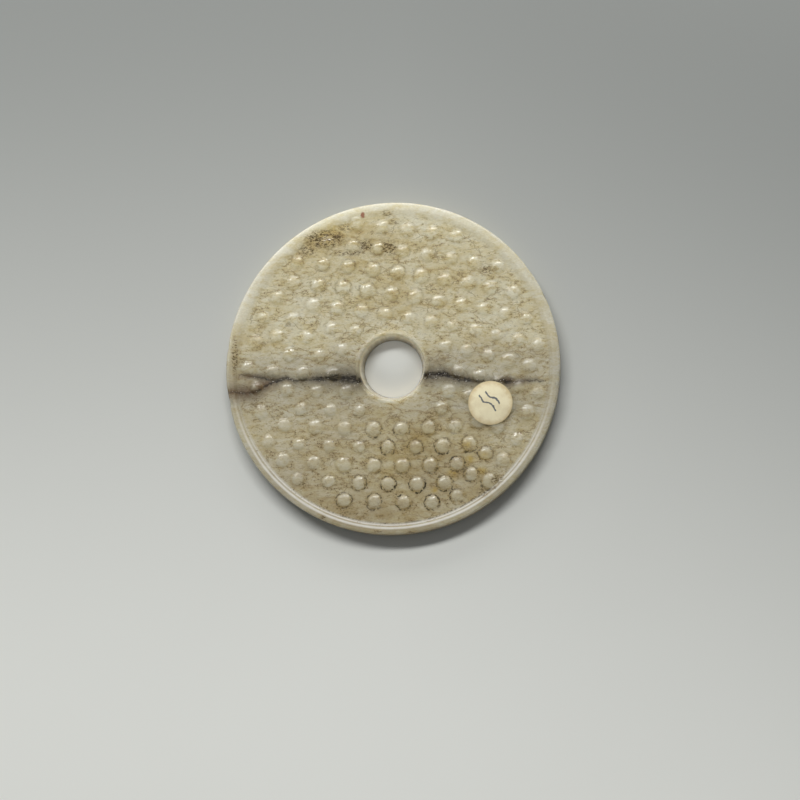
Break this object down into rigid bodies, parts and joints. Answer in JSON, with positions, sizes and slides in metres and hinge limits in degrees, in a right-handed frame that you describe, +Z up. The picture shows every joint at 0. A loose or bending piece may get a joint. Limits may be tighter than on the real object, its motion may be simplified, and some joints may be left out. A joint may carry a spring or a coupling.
{
  "type": "jade bi disc",
  "caption": "Flat round disc of carved jade with a central hole, raised border and ring, and rows of small round bosses on both faces.",
  "frame": {"origin": "on the axis of the hole, in the plane that the disc rests on", "axes": "+Z up through the hole, out of the upper face; +X along the rows of bosses on the lower half; the fissure runs across the disc roughly along X"},
  "size_m": [0.097, 0.097, 0.0051],
  "materials": {
    "jade": "polished, mottled greenish grey and brown, with a dark fissure and dirt in the low places",
    "paper": "matt, yellowed"
  },
  "bodies": {
    "root": {"jade_disc": "jade", "paper_sticker": "paper"}
  },
  "joints": []
}
